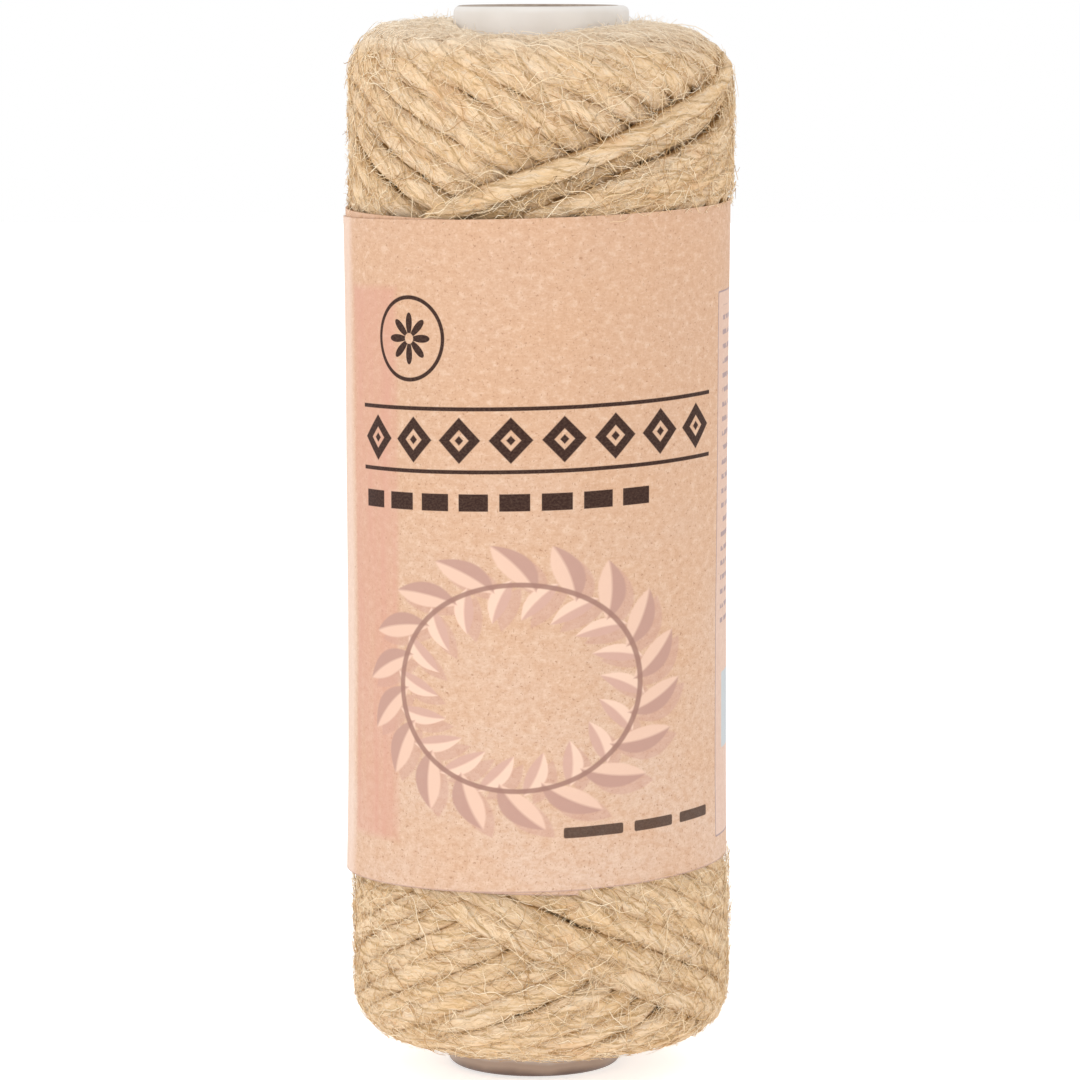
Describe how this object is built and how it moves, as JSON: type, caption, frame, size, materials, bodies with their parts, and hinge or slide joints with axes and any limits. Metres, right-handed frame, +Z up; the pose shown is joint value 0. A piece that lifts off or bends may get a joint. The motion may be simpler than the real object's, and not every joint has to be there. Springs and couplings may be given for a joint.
{
  "type": "roll of jute cord",
  "caption": "Upright roll of natural jute cord cross-wound on an open paper-covered tube, with a plain kraft paper band round its middle.",
  "frame": {"origin": "centre of the tube's lower end, on the surface that the roll stands on", "axes": "+Z up along the tube, -Y towards the front of the paper band, +X to its right"},
  "size_m": [0.0552, 0.0558, 0.1516],
  "materials": {
    "tube_paper": "smooth off-white paper wound over greyish board",
    "jute": "hairy four-ply natural jute",
    "kraft_paper": "matt speckled kraft paper"
  },
  "bodies": {
    "root": {"core_tube": "tube_paper", "winding": "jute", "label": "kraft_paper"}
  },
  "joints": []
}
